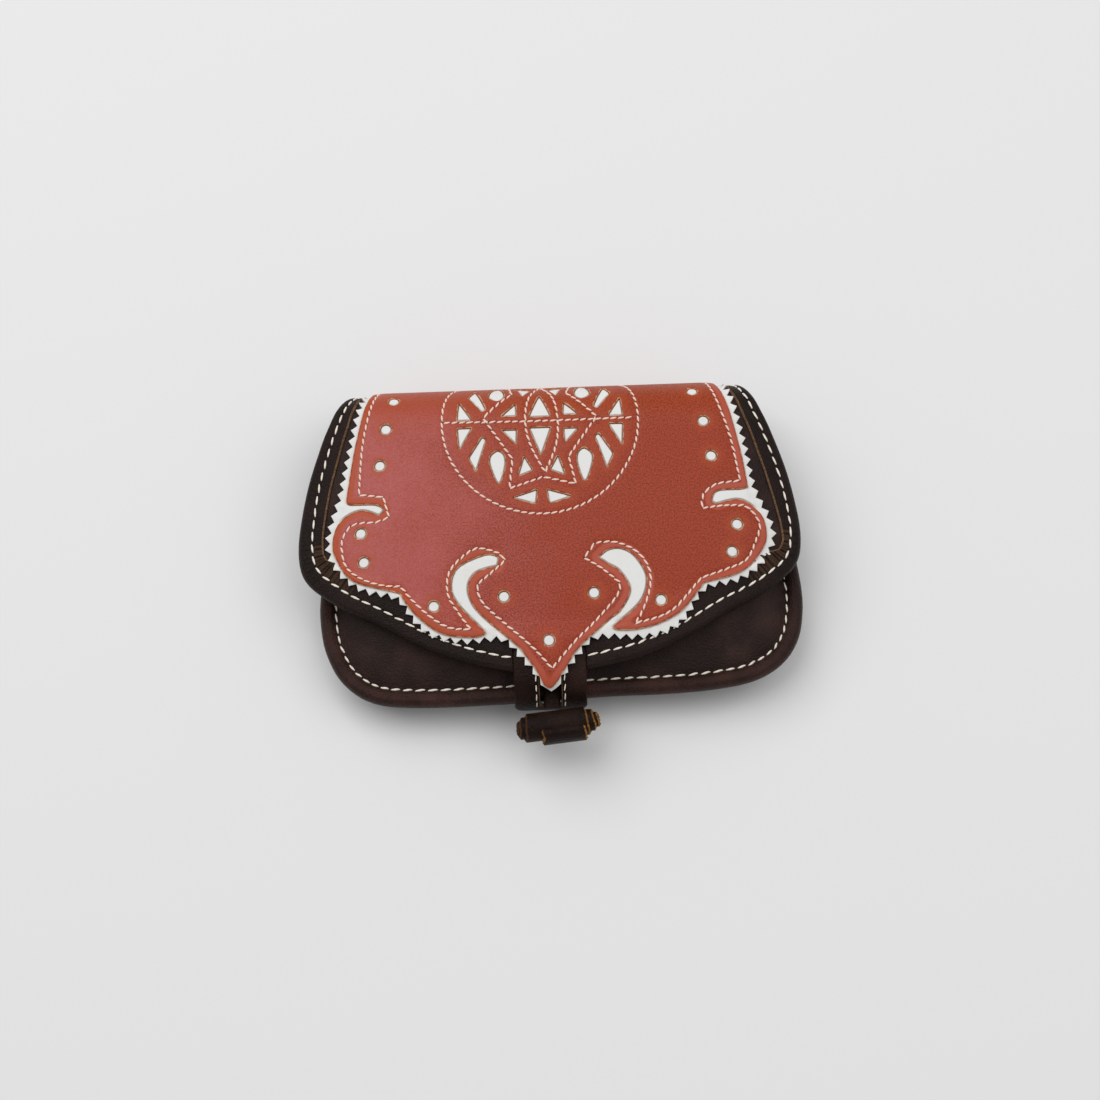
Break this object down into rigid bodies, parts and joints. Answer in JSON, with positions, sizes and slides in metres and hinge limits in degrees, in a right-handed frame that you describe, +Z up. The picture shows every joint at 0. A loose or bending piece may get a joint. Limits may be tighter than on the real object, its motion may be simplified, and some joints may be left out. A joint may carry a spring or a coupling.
{
  "type": "leather flap pouch",
  "caption": "Domed leather flap pouch lying on its back: cut-work applique over a pinked underlay, bound edges, and a slotted tongue that closes over a rolled toggle.",
  "frame": {"origin": "middle of the footprint, on the surface that the pouch lies on", "axes": "+X across the pouch to the right, +Y towards the fold, +Z up from the back to the flap's front"},
  "size_m": [0.2212, 0.1651, 0.045],
  "materials": {
    "dark_hide": "satin, fine grain",
    "dark_binding": "satin, fine grain",
    "red_hide": "smooth, burnished edges",
    "white_hide": "matt"
  },
  "bodies": {
    "pouch": {"back_panel": "dark_hide", "front_panel": "dark_hide", "body_binding": "dark_binding", "back_binding_left": "dark_binding", "back_binding_right": "dark_binding", "underlay_turnover": "white_hide", "applique_turnover": "red_hide", "toggle_shank": "dark_hide"},
    "flap": {"flap_base": "dark_hide", "flap_binding_left": "dark_binding", "flap_binding_right": "dark_binding", "flap_underlay": "white_hide", "flap_applique": "red_hide", "closure_tongue": "dark_hide"},
    "toggle": {"toggle_roll": "dark_hide"}
  },
  "joints": [
    {"name": "flap_hinge", "type": "hinge", "parent": "pouch", "child": "flap", "pos_m": [0, 0.08257, 0.021], "axis": [-1, 0, 0], "range_deg": [0, 170]},
    {"name": "toggle_turn", "type": "hinge", "parent": "pouch", "child": "toggle", "pos_m": [0.0008, -0.0748, 0.02292], "axis": [0, 1, 0], "range_deg": [-90, 90]}
  ]
}
